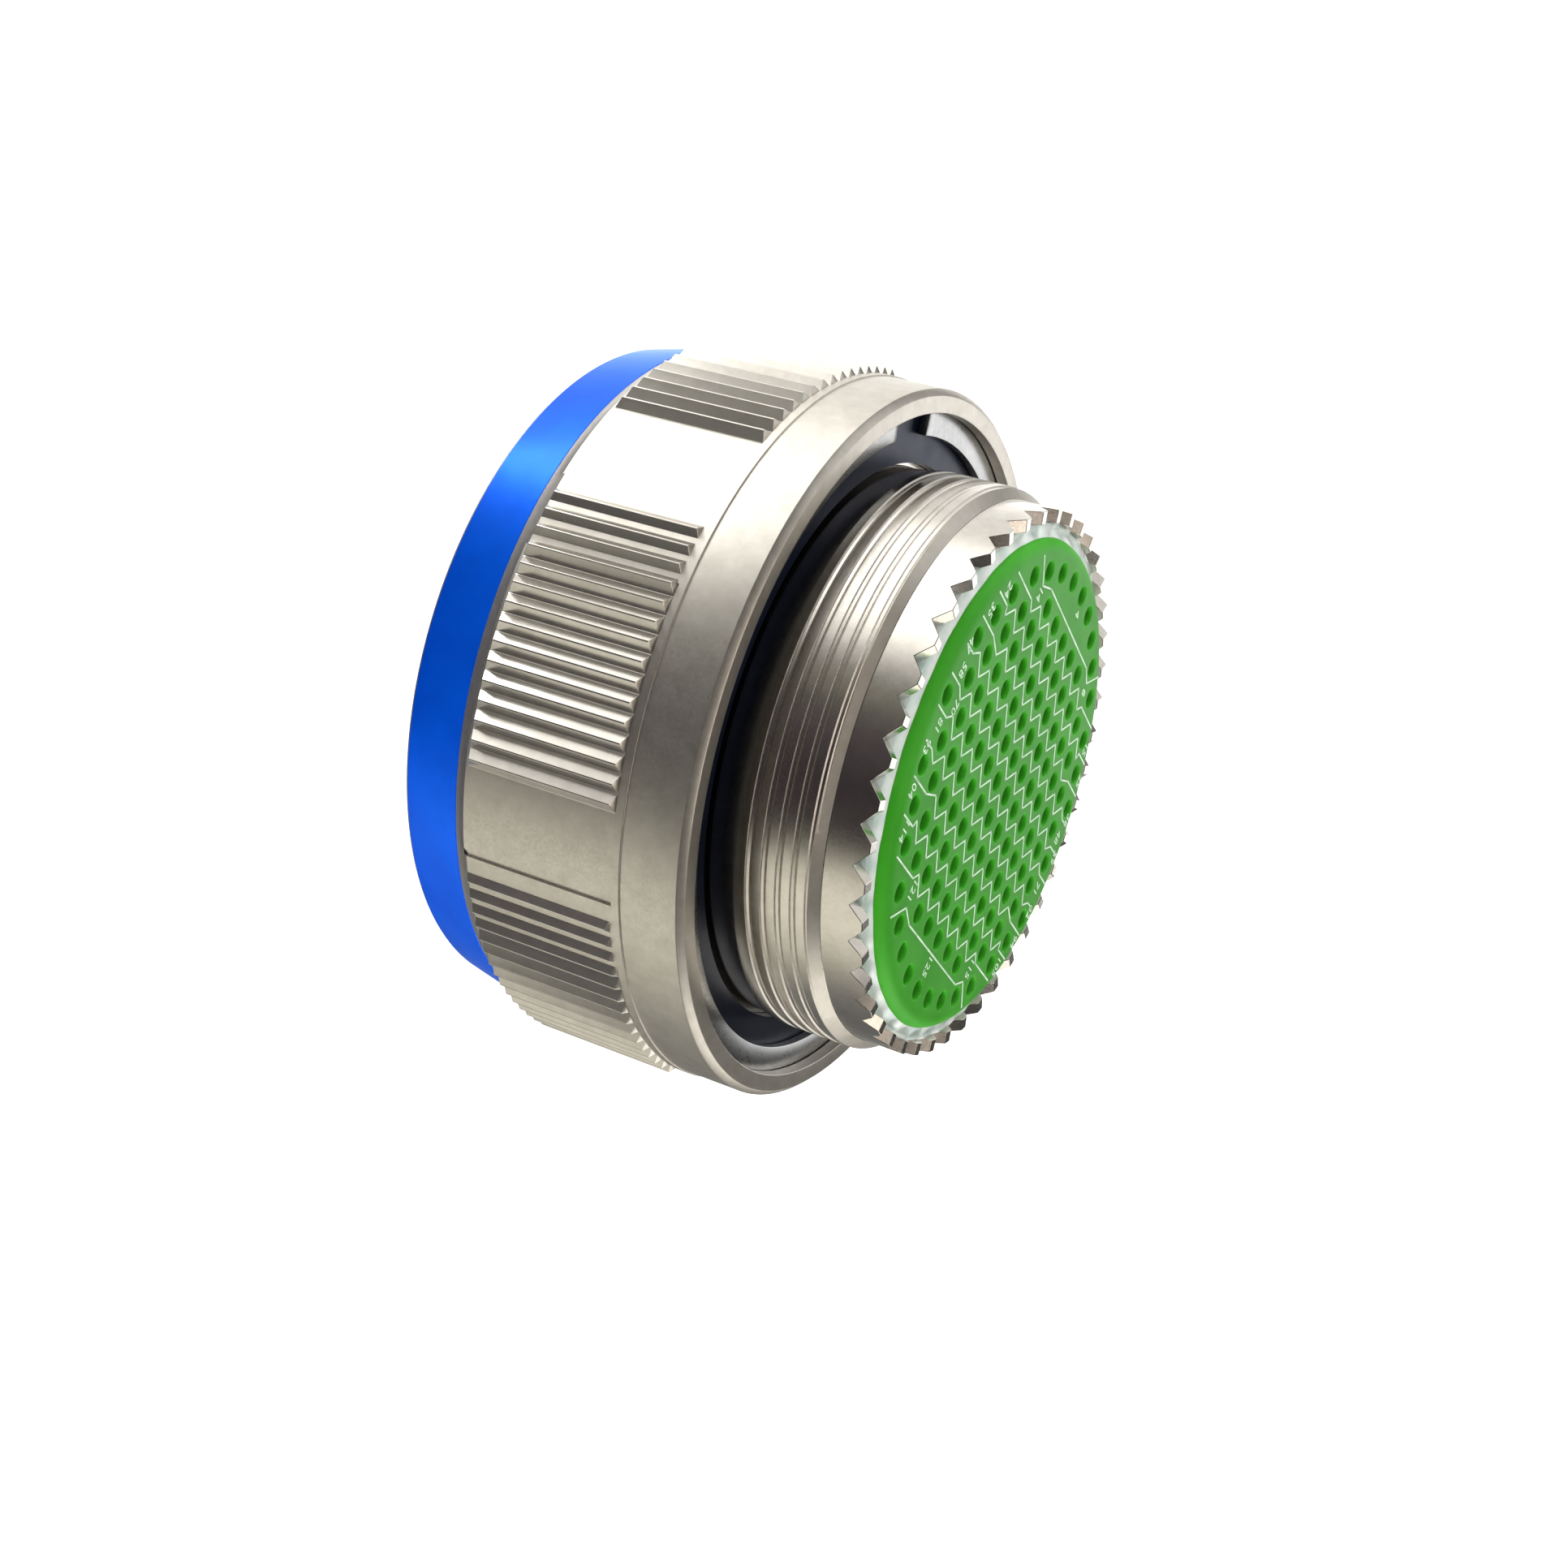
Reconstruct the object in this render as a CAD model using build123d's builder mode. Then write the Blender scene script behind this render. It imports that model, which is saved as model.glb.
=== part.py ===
from build123d import *
from math import cos, radians, sin, tan
import os

os.makedirs("parts", exist_ok=True)

# Straight circular connector plug, standing on the front end of its coupling ring.
# Millimetres. +Z runs along the axis from the front (mating) end to the rear (wire) end.
# The origin is on the axis, in the plane of the coupling ring's front face.
# Radii grow outwards from the contact layout, so a wall or a gap that changes moves what is round it.

# Contact cavities: straight rows on a triangular grid, closed by an arc at each end
arc_radius = 14.03
arc_step_angle = 10.0
arc_count = 7
shoulder_angle = 40.0
half_row_counts = (12, 11, 12, 11, 10, 5)
end_cavity_shift = 0.8
cavity_diameter = 1.32
cavity_sides = 6

# Rear grommet, and the sealant round it
grommet_margin = 2.07
grommet_thickness = 5.0
grommet_edge = 0.9
grommet_proud = 0.5
sealant_width = 0.85
sealant_depth = 1.0

# Inserts in the bore of the shell
insert_recess = 0.4
front_insert_length = 9.8

# Plug shell: walls and steps of the barrel, the flange, the accessory thread and the neck
barrel_wall = 1.35
barrel_recess = 0.5
flange_height = 2.6
flange_thickness = 2.9
neck_wall = 0.85
neck_length = 2.75
thread_rise = 0.7
thread_length = 4.8
thread_end_chamfer = 0.7
thread_offset = 0.45
land_relief = 0.3

# Ratchet round the flange
ratchet_teeth = 48
ratchet_depth = 0.5
ratchet_top_width = 0.3

# Serrated rear edge of the shell, whose notches take the teeth of a backshell
rear_teeth = 44
rear_tooth_depth = 0.9
rear_notch_width = 1.9
rear_notch_angle = -1.55

# Polarising keys on the barrel: the main key, and the others counted from it
main_key_angle = 90.0
side_key_angles = (80.0, 142.0, 196.0, 293.0)
main_key_width = 3.2
side_key_width = 1.6
key_height = 1.0
key_spring_gap = 2.4

# Coupling ring, outside
ring_length = 20.7
nose_wall = 2.25
band_length = 4.5
band_flare = 0.9
bevel_length = 1.1
body_wall = 1.55
rim_chamfer = 0.4

# Grip of the coupling ring: groups of straight ridges with smooth pads between them
grip_groups = 6
ridges_per_group = 15
ridge_spacing_angle = 2.88
ridge_height = 0.45
ridge_top_width = 0.28
ridge_base_width = 1.06
ridge_end_bevel = 0.36
smooth_rear_length = 4.85
first_pad_angle = 45.0

# Coupling ring, inside: room for the mating shell, and for the detent springs
mating_gap = 1.45
detent_space = 1.1

# Retaining ring, with its gap and its pry notch, in a groove of the counterbore
retainer_recess = 0.85
retainer_thickness = 0.6
retainer_width = 1.6
retainer_hold = 0.55
retainer_gap_centre = 114.0
retainer_gap_angle = 12.0
retainer_notch_depth = 1.35
retainer_notch_length = 2.6

# Dark washer between the retaining ring and the flange of the shell
washer_thickness = 0.8
washer_clearance = 0.35

# Seal and grounding spring on the barrel, in front of the flange
seal_thickness = 1.1
seal_height = 1.1
spring_fingers = 24
spring_length = 2.9
spring_thickness = 0.2
spring_flare = 0.6
finger_slot_angle = 2.0
finger_slot_length = 2.2

# Detent springs between the ratchet and the counterbore
detent_count = 3
first_detent_angle = 30.0
detent_half_angle = 22.0
detent_thickness = 0.3
detent_width = 2.3
detent_lift = 0.35
detent_bump_base = 1.1
detent_bump_tip = 0.4
detent_bump_gap = 0.2
detent_foot_width = 0.8

# Clearances, and how far a cut runs past or a rib is rooted in what it meets
fit_gap = 0.05
axial_play = 0.1
cut_overrun = 0.4
root_overlap = 0.1

# Radii, from the contact layout outwards
cavity_pitch = 2 * arc_radius * sin(radians(arc_step_angle / 2))
row_rise = cavity_pitch * sin(radians(60))
grommet_radius = arc_radius + grommet_margin
bore_radius = grommet_radius + sealant_width
neck_radius = bore_radius + neck_wall
thread_radius = neck_radius + thread_rise
land_radius = thread_radius - land_relief
barrel_radius = bore_radius + barrel_wall
flange_radius = barrel_radius + flange_height
ratchet_root_radius = flange_radius - ratchet_depth
ring_bore_radius = barrel_radius + mating_gap
nose_radius = ring_bore_radius + nose_wall
band_end_radius = nose_radius + band_flare
counterbore_radius = flange_radius + detent_space
body_radius = counterbore_radius + body_wall
retainer_outer_radius = counterbore_radius + retainer_hold
retainer_inner_radius = counterbore_radius - retainer_width
groove_radius = retainer_outer_radius + fit_gap

# Heights of the stack in the coupling ring, counted forwards from its rear end
retainer_rear_z = ring_length - retainer_recess
groove_rear_z = retainer_rear_z + fit_gap
retainer_front_z = retainer_rear_z - retainer_thickness
groove_front_z = retainer_front_z - fit_gap
washer_rear_z = groove_front_z
washer_front_z = washer_rear_z - washer_thickness
flange_rear_z = washer_front_z - axial_play
flange_front_z = flange_rear_z - flange_thickness
ring_seat_z = flange_front_z - axial_play
seal_front_z = flange_front_z - seal_thickness
spring_front_z = seal_front_z - spring_length
key_rear_z = spring_front_z - key_spring_gap

# Heights of the rear end, counted backwards from the coupling ring
thread_front_z = ring_length + thread_offset
thread_rear_z = thread_front_z + thread_length
neck_front_z = thread_rear_z + thread_end_chamfer
shell_rear_z = neck_front_z + neck_length
grommet_rear_z = shell_rear_z + grommet_proud
grommet_front_z = grommet_rear_z - grommet_thickness
sealant_rear_z = grommet_rear_z - sealant_depth
insert_split_z = insert_recess + front_insert_length

# Coupling ring: turned in one piece, with its mating thread drawn as a plain bore
body_front_z = band_length + bevel_length
ring_outline = [
    (ring_bore_radius, 0),
    (nose_radius, 0),
    (band_end_radius, band_length),
    (body_radius, body_front_z),
    (body_radius, ring_length - rim_chamfer),
    (body_radius - rim_chamfer, ring_length),
    (counterbore_radius, ring_length),
    (counterbore_radius, groove_rear_z),
    (groove_radius, groove_rear_z),
    (groove_radius, groove_front_z),
    (counterbore_radius, groove_front_z),
    (counterbore_radius, ring_seat_z),
    (ring_bore_radius, ring_seat_z),
]
pad_step = 360.0 / grip_groups
group_span = ridge_spacing_angle * (ridges_per_group - 1)
first_ridge_angle = first_pad_angle + (pad_step - group_span) / 2
ridge_rear_z = ring_length - smooth_rear_length
flank_slope = (ridge_base_width - ridge_top_width) / 2 / ridge_height
root_half_width = ridge_base_width / 2 + flank_slope * root_overlap

with BuildPart() as coupling_ring:
    with BuildSketch(Plane.XZ):
        with BuildLine():
            Polyline(*ring_outline, close=True)
        make_face()
    revolve(axis=Axis.Z)

    # Grip ridges: trapezoids rooted a little way inside the body
    with BuildSketch(Plane.XY.offset(body_front_z)):
        for group in range(grip_groups):
            start = first_ridge_angle + group * pad_step
            with PolarLocations(body_radius, ridges_per_group, start, group_span, endpoint=True):
                Polygon(
                    (-root_overlap, -root_half_width),
                    (ridge_height, -ridge_top_width / 2),
                    (ridge_height, ridge_top_width / 2),
                    (-root_overlap, root_half_width),
                    align=None,
                )
    extrude(amount=ridge_rear_z - body_front_z)

    # The rear end of each ridge slopes down to the body
    rear_edges = coupling_ring.edges().filter_by_position(Axis.Z, ridge_rear_z, ridge_rear_z)
    top_edges = rear_edges.filter_by(lambda edge: abs(edge.length - ridge_top_width) < 0.001)
    chamfer(top_edges, length=ridge_end_bevel)
coupling_ring.part.label = "coupling_ring"

# Retaining ring: a flat open ring, with one end cut away at its outer corner for a pry tool
gap_half_width = counterbore_radius * sin(radians(retainer_gap_angle / 2))
with BuildPart() as retaining_ring:
    with BuildSketch(Plane.XY.offset(retainer_front_z)):
        Circle(retainer_outer_radius)
        Circle(retainer_inner_radius, mode=Mode.SUBTRACT)
        with PolarLocations(0, 1, retainer_gap_centre):
            Rectangle(
                retainer_outer_radius + cut_overrun,
                2 * gap_half_width,
                align=(Align.MIN, Align.CENTER),
                mode=Mode.SUBTRACT,
            )
            Polygon(
                (retainer_outer_radius - retainer_notch_depth, gap_half_width),
                (retainer_outer_radius + cut_overrun, gap_half_width),
                (retainer_outer_radius + cut_overrun, gap_half_width + retainer_notch_length),
                align=None,
                mode=Mode.SUBTRACT,
            )
    extrude(amount=retainer_thickness)
retaining_ring.part.label = "retaining_ring"

# Dark thrust washer, which turns with the coupling ring
with BuildPart() as thrust_washer:
    with BuildSketch(Plane.XY.offset(washer_front_z)):
        Circle(counterbore_radius - fit_gap)
        Circle(land_radius + washer_clearance, mode=Mode.SUBTRACT)
    extrude(amount=washer_thickness)
thrust_washer.part.label = "thrust_washer"

# Plug shell: barrel with keys, ratchet flange, accessory thread land and serrated neck
shell_outline = [
    (bore_radius, barrel_recess),
    (barrel_radius, barrel_recess),
    (barrel_radius, flange_front_z),
    (flange_radius, flange_front_z),
    (flange_radius, flange_rear_z),
    (land_radius, flange_rear_z),
    (land_radius, thread_front_z),
    (thread_radius, thread_front_z),
    (thread_radius, thread_rear_z),
    (neck_radius, neck_front_z),
    (neck_radius, shell_rear_z),
    (bore_radius, shell_rear_z),
]
with BuildPart() as plug_shell:
    with BuildSketch(Plane.XZ):
        with BuildLine():
            Polyline(*shell_outline, close=True)
        make_face()
    revolve(axis=Axis.Z)

    # Ratchet: V notches all round the flange, one of them at angle zero
    ratchet_half_notch = (flange_radius * radians(360.0 / ratchet_teeth) - ratchet_top_width) / 2
    ratchet_cut_width = ratchet_half_notch * (1 + cut_overrun / ratchet_depth)
    with BuildSketch(Plane.XY.offset(flange_front_z)):
        with PolarLocations(flange_radius, ratchet_teeth):
            Polygon(
                (-ratchet_depth, 0),
                (cut_overrun, -ratchet_cut_width),
                (cut_overrun, ratchet_cut_width),
                align=None,
            )
    extrude(amount=flange_thickness, mode=Mode.SUBTRACT)

    # Keys along the barrel
    with BuildSketch(Plane.XY.offset(barrel_recess)):
        key_middle = barrel_radius + (key_height - root_overlap) / 2
        with PolarLocations(key_middle, 1, main_key_angle):
            Rectangle(key_height + root_overlap, main_key_width)
        for side_key_angle in side_key_angles:
            with PolarLocations(key_middle, 1, main_key_angle + side_key_angle):
                Rectangle(key_height + root_overlap, side_key_width)
    extrude(amount=key_rear_z - barrel_recess)

    # Serrated rear edge: each cut runs right across and makes two opposite notches
    notch_cut_width = rear_notch_width / 2 * (1 + cut_overrun / rear_tooth_depth)
    for notch in range(rear_teeth // 2):
        notch_angle = radians(rear_notch_angle + notch * 360.0 / rear_teeth)
        across = Vector(cos(notch_angle), sin(notch_angle), 0)
        sideways = Vector(-sin(notch_angle), cos(notch_angle), 0)
        with BuildSketch(Plane(origin=(0, 0, shell_rear_z), x_dir=sideways, z_dir=across)):
            Polygon(
                (0, -rear_tooth_depth),
                (notch_cut_width, cut_overrun),
                (-notch_cut_width, cut_overrun),
                align=None,
            )
        extrude(amount=neck_radius + cut_overrun, both=True, mode=Mode.SUBTRACT)
plug_shell.part.label = "plug_shell"

# Flat peripheral seal against the front of the flange
with BuildPart() as shell_seal:
    with BuildSketch(Plane.XY.offset(seal_front_z)):
        Circle(barrel_radius + seal_height)
        Circle(barrel_radius + fit_gap, mode=Mode.SUBTRACT)
    extrude(amount=seal_thickness)
shell_seal.part.label = "shell_seal"

# Grounding spring: a thin band of flat fingers, which flare forwards from the barrel
finger_rear_radius = barrel_radius + fit_gap
finger_front_radius = finger_rear_radius + spring_flare
with BuildPart() as grounding_spring:
    for surface_offset, surface_mode in ((spring_thickness, Mode.ADD), (0, Mode.SUBTRACT)):
        with BuildSketch(Plane.XY.offset(spring_front_z)):
            RegularPolygon(finger_front_radius + surface_offset, spring_fingers, major_radius=False)
        with BuildSketch(Plane.XY.offset(seal_front_z)):
            RegularPolygon(finger_rear_radius + surface_offset, spring_fingers, major_radius=False)
        loft(ruled=True, mode=surface_mode)

    # Slots between the fingers, one at each corner of the band
    slot_reach = (finger_front_radius + spring_thickness) / cos(radians(180.0 / spring_fingers))
    slot_half_width = (slot_reach + cut_overrun) * tan(radians(finger_slot_angle / 2))
    with BuildSketch(Plane.XY.offset(spring_front_z)):
        with PolarLocations(0, spring_fingers):
            Polygon(
                (0, 0),
                (slot_reach + cut_overrun, -slot_half_width),
                (slot_reach + cut_overrun, slot_half_width),
                align=None,
            )
    extrude(amount=finger_slot_length, mode=Mode.SUBTRACT)
grounding_spring.part.label = "grounding_spring"

# Front insert: hard insulator with the mating face
with BuildPart() as front_insert:
    with BuildSketch(Plane.XY.offset(insert_recess)):
        Circle(bore_radius - fit_gap)
    extrude(amount=front_insert_length)
front_insert.part.label = "front_insert"

# Rear insert: insulator that carries the contact retention, between front insert and grommet
with BuildPart() as rear_insert:
    with BuildSketch(Plane.XY.offset(insert_split_z)):
        Circle(bore_radius - fit_gap)
    extrude(amount=grommet_front_z - insert_split_z)
rear_insert.part.label = "rear_insert"

# Places of the contact cavities
cavity_places = []
for row in range(1 - len(half_row_counts), len(half_row_counts)):
    row_count = half_row_counts[abs(row)]
    for place in range(row_count):
        cavity_x = (place - (row_count - 1) / 2) * cavity_pitch
        if row == 0 and place == 0:
            cavity_x -= end_cavity_shift
        cavity_places.append((cavity_x, row * row_rise))
for end in (1, -1):
    arc_angles = [(place - (arc_count - 1) / 2) * arc_step_angle for place in range(arc_count)]
    for arc_angle in arc_angles + [-shoulder_angle, shoulder_angle]:
        arc_x = arc_radius * sin(radians(arc_angle))
        cavity_places.append((arc_x, end * arc_radius * cos(radians(arc_angle))))

# Rear grommet: soft wire seal with one cavity for each contact, open right through
with BuildPart() as rear_grommet:
    with BuildSketch(Plane.XY.offset(grommet_front_z)):
        Circle(grommet_radius)
        with Locations(*cavity_places):
            RegularPolygon(cavity_diameter / 2, cavity_sides, mode=Mode.SUBTRACT)
    extrude(amount=grommet_thickness)
    outer_rim = rear_grommet.edges().filter_by(GeomType.CIRCLE).group_by(Axis.Z)[-1]
    chamfer(outer_rim, length=grommet_edge)
rear_grommet.part.label = "rear_grommet"

# Sealant cast round the grommet, inside the rear edge of the shell
with BuildPart() as grommet_sealant:
    with BuildSketch(Plane.XY.offset(grommet_front_z)):
        Circle(bore_radius)
        Circle(grommet_radius, mode=Mode.SUBTRACT)
    extrude(amount=sealant_rear_z - grommet_front_z)
grommet_sealant.part.label = "grommet_sealant"

# Detent springs: leaf springs sprung against the counterbore, each with a bump in the ratchet
detent_inner_radius = flange_radius + detent_lift
detent_outer_radius = detent_inner_radius + detent_thickness
detent_front_z = flange_front_z + (flange_thickness - detent_width) / 2
foot_length = counterbore_radius - fit_gap - detent_inner_radius
detent_springs = []
for spring in range(detent_count):
    detent_angle = first_detent_angle + spring * 360.0 / detent_count
    leaf_start = detent_angle - detent_half_angle
    with BuildPart() as detent_spring:
        with BuildSketch(Plane.XY.offset(detent_front_z)):
            with BuildLine():
                outer_arc = CenterArc((0, 0), detent_outer_radius, leaf_start, 2 * detent_half_angle)
                inner_arc = CenterArc((0, 0), detent_inner_radius, leaf_start, 2 * detent_half_angle)
                Line(outer_arc @ 0, inner_arc @ 0)
                Line(outer_arc @ 1, inner_arc @ 1)
            make_face()
            with PolarLocations(0, 1, detent_angle):
                Polygon(
                    (ratchet_root_radius + detent_bump_gap, -detent_bump_tip / 2),
                    (detent_inner_radius + root_overlap, -detent_bump_base / 2),
                    (detent_inner_radius + root_overlap, detent_bump_base / 2),
                    (ratchet_root_radius + detent_bump_gap, detent_bump_tip / 2),
                    align=None,
                )
            foot_middle = detent_inner_radius + foot_length / 2
            with PolarLocations(foot_middle, 2, leaf_start, 2 * detent_half_angle, endpoint=True):
                Rectangle(foot_length, detent_foot_width)
        extrude(amount=detent_width)
    detent_spring.part.label = "detent_spring_" + str(spring + 1)
    detent_springs.append(detent_spring.part)

pieces = [
    coupling_ring.part,
    retaining_ring.part,
    thrust_washer.part,
    plug_shell.part,
    shell_seal.part,
    grounding_spring.part,
    front_insert.part,
    rear_insert.part,
    rear_grommet.part,
    grommet_sealant.part,
]
for piece in pieces + detent_springs:
    export_step(piece, "parts/" + piece.label + ".step")
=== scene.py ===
from math import atan2, cos, degrees, hypot, pi, radians, sin

import bmesh
import bpy
from mathutils import Matrix, Vector


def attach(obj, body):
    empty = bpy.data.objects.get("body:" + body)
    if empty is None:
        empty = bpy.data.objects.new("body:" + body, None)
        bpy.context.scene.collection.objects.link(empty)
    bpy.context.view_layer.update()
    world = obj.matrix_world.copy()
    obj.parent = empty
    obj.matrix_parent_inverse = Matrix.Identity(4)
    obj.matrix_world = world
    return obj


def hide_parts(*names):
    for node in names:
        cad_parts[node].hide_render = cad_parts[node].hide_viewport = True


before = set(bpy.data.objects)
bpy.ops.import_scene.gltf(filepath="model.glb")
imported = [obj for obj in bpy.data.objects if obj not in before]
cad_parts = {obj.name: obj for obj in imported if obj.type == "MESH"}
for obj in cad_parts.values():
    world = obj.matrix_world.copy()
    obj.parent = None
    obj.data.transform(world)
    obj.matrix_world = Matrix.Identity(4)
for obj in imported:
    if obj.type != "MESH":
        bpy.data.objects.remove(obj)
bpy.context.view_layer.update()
mm = 0.001

# The table, the room and the lamps. The plug stands on its front end on a plain pale table top,
# which is pure white to the camera. Soft boxes on stands light it from all sides, out of view.
bpy.context.scene.view_settings.view_transform = "Standard"
table_size = 24
table_gap = 0.02
lamp_aim_z = 14


def add_node(owner, kind, values=None, **settings):
    """Adds a node to a material or to the room, with values for its sockets."""
    made = owner.node_tree.nodes.new(kind)
    for setting, value in settings.items():
        setattr(made, setting, value)
    for socket, value in (values or {}).items():
        made.inputs[socket].default_value = value
    return made


def wire(owner, source, output, target, socket):
    owner.node_tree.links.new(source.outputs[output], target.inputs[socket])


def new_material(name, values):
    """A material with plain values on its shader."""
    material = bpy.data.materials.new(name)
    material.use_nodes = True
    for socket, value in values.items():
        material.node_tree.nodes["Principled BSDF"].inputs[socket].default_value = value
    return material


bpy.ops.object.select_all(action="DESELECT")
bpy.ops.mesh.primitive_plane_add(size=table_size, location=(0, 0, -table_gap * mm))
table = bpy.context.object
table.name = "table_top"
bpy.ops.object.mode_set(mode="EDIT")
bpy.ops.mesh.subdivide(number_cuts=5)
bpy.ops.object.mode_set(mode="OBJECT")
table_paint = new_material(
    "table_paint",
    {"Base Color": (0.62, 0.62, 0.61, 1), "Roughness": 0.7, "Specular IOR Level": 0.2},
)
table_shader = table_paint.node_tree.nodes["Principled BSDF"]
seen_white = add_node(table_paint, "ShaderNodeEmission", {"Color": (1.0, 1.0, 1.0, 1), "Strength": 1.0})
seen_sum = add_node(table_paint, "ShaderNodeAddShader")
seen_mix = add_node(table_paint, "ShaderNodeMixShader")
rays = add_node(table_paint, "ShaderNodeLightPath")
wire(table_paint, seen_white, "Emission", seen_sum, 0)
wire(table_paint, table_shader, "BSDF", seen_sum, 1)
wire(table_paint, rays, "Is Camera Ray", seen_mix, 0)
wire(table_paint, table_shader, "BSDF", seen_mix, 1)
wire(table_paint, seen_sum, "Shader", seen_mix, 2)
wire(table_paint, seen_mix, "Shader", table_paint.node_tree.nodes["Material Output"], "Surface")
table.data.materials.append(table_paint)
table.visible_glossy = False
table.visible_shadow = False

room = bpy.data.worlds.new("room")
bpy.context.scene.world = room
room.use_nodes = True
room_light = room.node_tree.nodes["Background"]
room_light.inputs["Color"].default_value = (1.0, 0.99, 0.97, 1)
room_light.inputs["Strength"].default_value = 0.05
room_white = add_node(room, "ShaderNodeBackground", {"Color": (1.0, 1.0, 1.0, 1)})
room_mix = add_node(room, "ShaderNodeMixShader")
room_rays = add_node(room, "ShaderNodeLightPath")
wire(room, room_rays, "Is Camera Ray", room_mix, 0)
wire(room, room_light, "Background", room_mix, 1)
wire(room, room_white, "Background", room_mix, 2)
wire(room, room_mix, "Shader", room.node_tree.nodes["World Output"], "Surface")


def soft_lamp(name, azimuth, elevation, distance, width, height, watts, colour=(1, 1, 1), mirrored=True):
    """A soft box on a stand: it looks at the middle of the plug from that direction, in degrees and mm."""
    across = distance * cos(radians(elevation))
    place = Vector((
        across * cos(radians(azimuth)),
        across * sin(radians(azimuth)),
        distance * sin(radians(elevation)) + lamp_aim_z,
    ))
    turn = (place - Vector((0, 0, lamp_aim_z))).to_track_quat("Z", "Y").to_euler()
    bpy.ops.object.light_add(type="AREA", location=place * mm, rotation=turn)
    lamp = bpy.context.object
    lamp.name = name
    lamp.data.shape = "RECTANGLE"
    lamp.data.size = width * mm
    lamp.data.size_y = height * mm
    lamp.data.energy = watts
    lamp.data.color = colour
    lamp.visible_camera = False
    lamp.visible_glossy = mirrored


soft_lamp(
    "key_lamp", azimuth=102, elevation=12, distance=175, width=190, height=90, watts=0.42, mirrored=False,
)
soft_lamp(
    "fill_lamp", azimuth=196, elevation=30, distance=260, width=260, height=160, watts=0.36, mirrored=False,
)
soft_lamp(
    "low_lamp", azimuth=282, elevation=14, distance=420, width=350, height=130, watts=1.9, mirrored=False,
)
soft_lamp("upper_lamp", azimuth=84, elevation=40, distance=200, width=190, height=130, watts=0.07)
soft_lamp("rear_lamp", azimuth=31, elevation=28, distance=300, width=170, height=150, watts=0.15)
soft_lamp(
    "side_lamp", azimuth=320, elevation=27, distance=300, width=260, height=130, watts=0.20,
    colour=(1.0, 0.98, 0.92),
)
soft_lamp(
    "top_lamp", azimuth=200, elevation=84, distance=220, width=200, height=44, watts=0.09,
    colour=(1.0, 0.90, 0.80),
)

# A round studio wall, from the table's height down, and one small bright card in front of it.
# Only glossy surfaces mirror them. The wall's shades follow one another all the way round.
wall_radius = 2.5
wall_height = 3.2
white = (1.0, 1.0, 0.98)
warm = (1.0, 0.98, 0.86)
black = (1.0, 0.84, 0.96)
shades = [
    (8, 0.45, white), (20, 1.1, white), (32, 1.7, white), (52, 1.5, white), (72, 1.05, white),
    (92, 1.1, white), (104, 2.0, white), (112, 2.4, white), (142, 2.2, white), (150, 1.75, white),
    (157, 1.15, white), (164, 0.50, white), (172, 0.24, warm), (182, 0.13, warm), (192, 0.09, black),
    (212, 0.045, black), (229, 0.05, black), (237, 0.09, warm), (245, 0.44, warm), (252, 0.90, warm),
    (272, 1.04, warm), (286, 0.78, warm), (298, 0.45, warm), (312, 0.22, white), (332, 0.15, white),
    (352, 0.18, white),
]
card_azimuth = 128
card_drop = 43
card_distance = 1.5
card_size = 0.34
card_strength = 14.0


def glowing(name, strength):
    """A material that only glows."""
    material = new_material(name, {})
    material.node_tree.nodes.remove(material.node_tree.nodes["Principled BSDF"])
    glow = add_node(material, "ShaderNodeEmission", {"Strength": strength})
    wire(material, glow, "Emission", material.node_tree.nodes["Material Output"], "Surface")
    return material


bpy.ops.object.select_all(action="DESELECT")
bpy.ops.mesh.primitive_cylinder_add(
    vertices=96, radius=wall_radius, depth=wall_height, end_fill_type="NOTHING",
    location=(0, 0, -wall_height / 2),
)
wall = bpy.context.object
wall.name = "studio_wall"
bpy.ops.object.mode_set(mode="EDIT")
bpy.ops.mesh.select_all(action="SELECT")
bpy.ops.mesh.flip_normals()
bpy.ops.object.mode_set(mode="OBJECT")
wall_paint = glowing("wall_paint", 1.0)
wall_place = add_node(wall_paint, "ShaderNodeTexCoord")
wall_round = add_node(wall_paint, "ShaderNodeTexGradient", gradient_type="RADIAL")
wall_shades = add_node(wall_paint, "ShaderNodeValToRGB")
wire(wall_paint, wall_place, "Object", wall_round, "Vector")
wire(wall_paint, wall_round, "Fac", wall_shades, "Fac")
wire(wall_paint, wall_shades, "Color", wall_paint.node_tree.nodes["Emission"], "Color")
stops = sorted(((azimuth / 360 + 0.5) % 1.0, Vector(tint) * glow) for azimuth, glow, tint in shades)
while len(wall_shades.color_ramp.elements) < len(stops):
    wall_shades.color_ramp.elements.new(1.0)
for element, (position, shade) in zip(wall_shades.color_ramp.elements, stops):
    element.position = position
    element.color = (*shade, 1)
wall.data.materials.append(wall_paint)

card_level = cos(radians(card_drop))
card_way = Vector((
    cos(radians(card_azimuth)) * card_level,
    sin(radians(card_azimuth)) * card_level,
    -sin(radians(card_drop)),
))
bpy.ops.mesh.primitive_plane_add(
    size=card_size, location=card_way * card_distance,
    rotation=card_way.to_track_quat("Z", "Y").to_euler(),
)
bright_card = bpy.context.object
bright_card.name = "bright_card"
bpy.ops.object.mode_set(mode="EDIT")
bpy.ops.mesh.subdivide(number_cuts=3)
bpy.ops.object.mode_set(mode="OBJECT")
bright_card.data.materials.append(glowing("card_paint", card_strength))
for screen in (wall, bright_card):
    screen.visible_camera = False
    screen.visible_diffuse = False
    screen.visible_transmission = False
    screen.visible_shadow = False

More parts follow.
